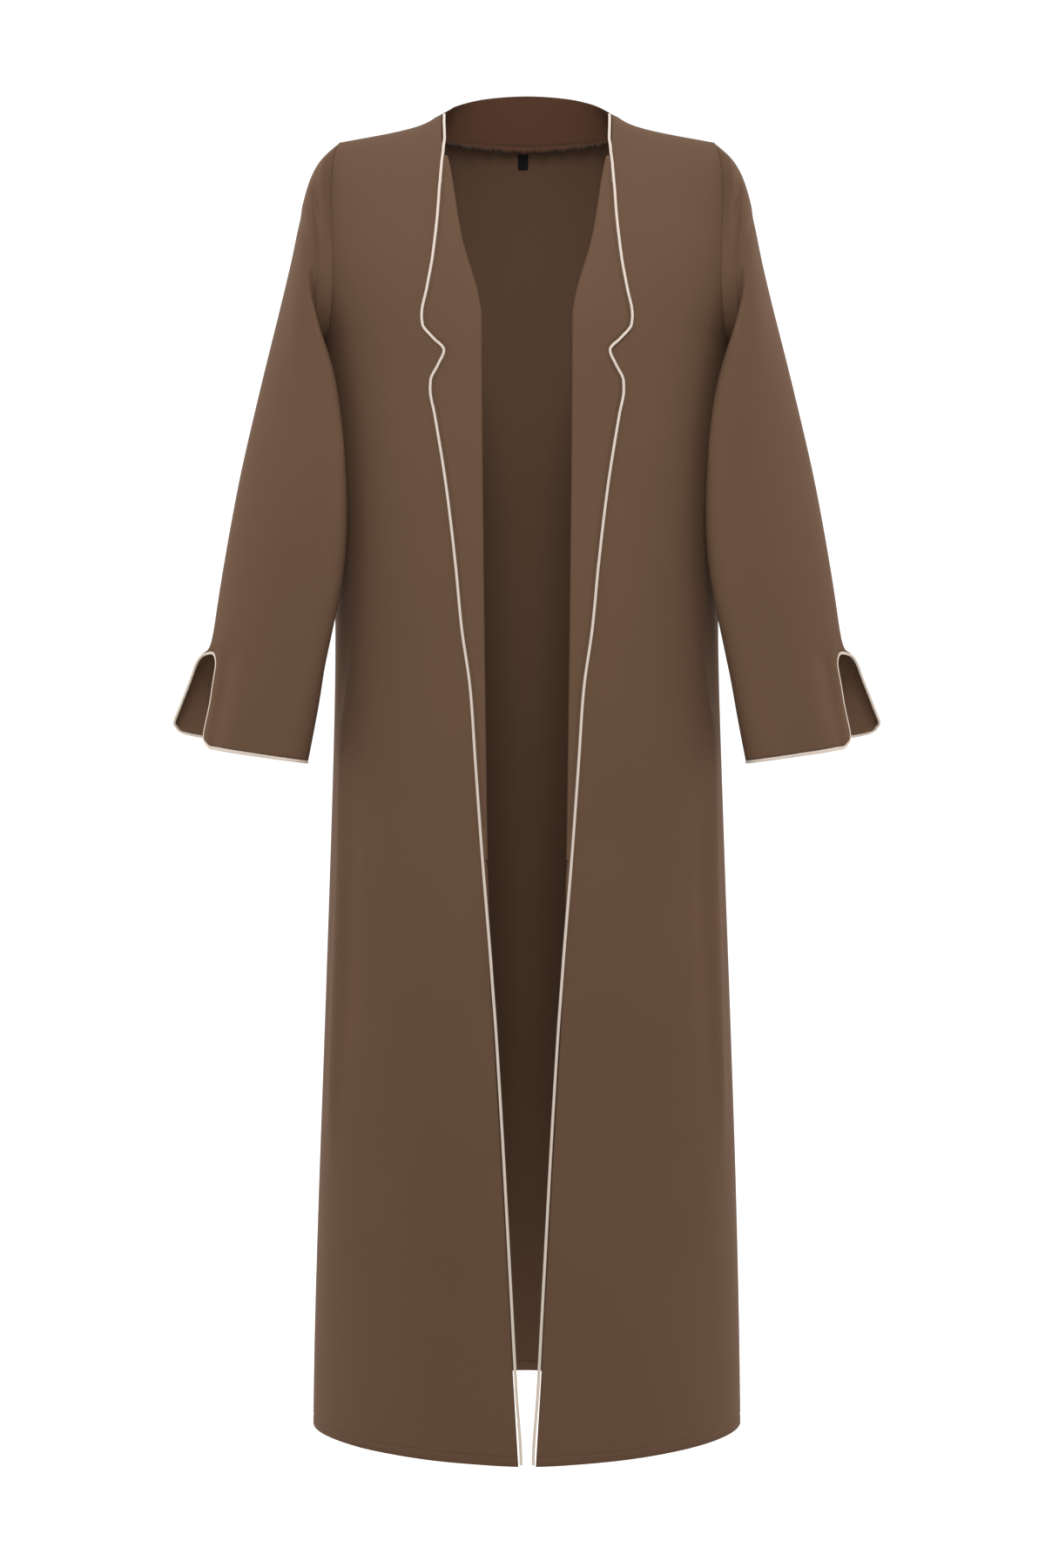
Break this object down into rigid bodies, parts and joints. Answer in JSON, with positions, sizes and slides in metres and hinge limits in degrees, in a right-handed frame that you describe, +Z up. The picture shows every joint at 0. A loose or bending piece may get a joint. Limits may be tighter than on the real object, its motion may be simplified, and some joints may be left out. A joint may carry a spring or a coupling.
{
  "type": "abaya cloak",
  "caption": "Long open-front abaya cloak with notched lapels, piped edges and slit cuffs, shown filled out as worn.",
  "frame": {"origin": "middle of the shoulder line, between the two neck points, where the wearer's shoulders carry the garment", "axes": "+X towards the wearer's left, -Y is the front, +Z up along the garment's length"},
  "size_m": [0.7642, 0.3855, 1.4239],
  "materials": {
    "crepe": "plain brown crepe with a faint sheen",
    "piping": "beige bias piping",
    "tag": "black woven ribbon, left bare"
  },
  "bodies": {
    "root": {"back": "crepe", "collar_back": "crepe", "front_left": "crepe", "front_right": "crepe", "lapel_left": "crepe", "lapel_right": "crepe", "sleeve_left": "crepe", "sleeve_right": "crepe", "piping_left": "piping", "piping_right": "piping", "cuff_piping_left": "piping", "cuff_piping_right": "piping", "size_tag": "tag"}
  },
  "joints": []
}
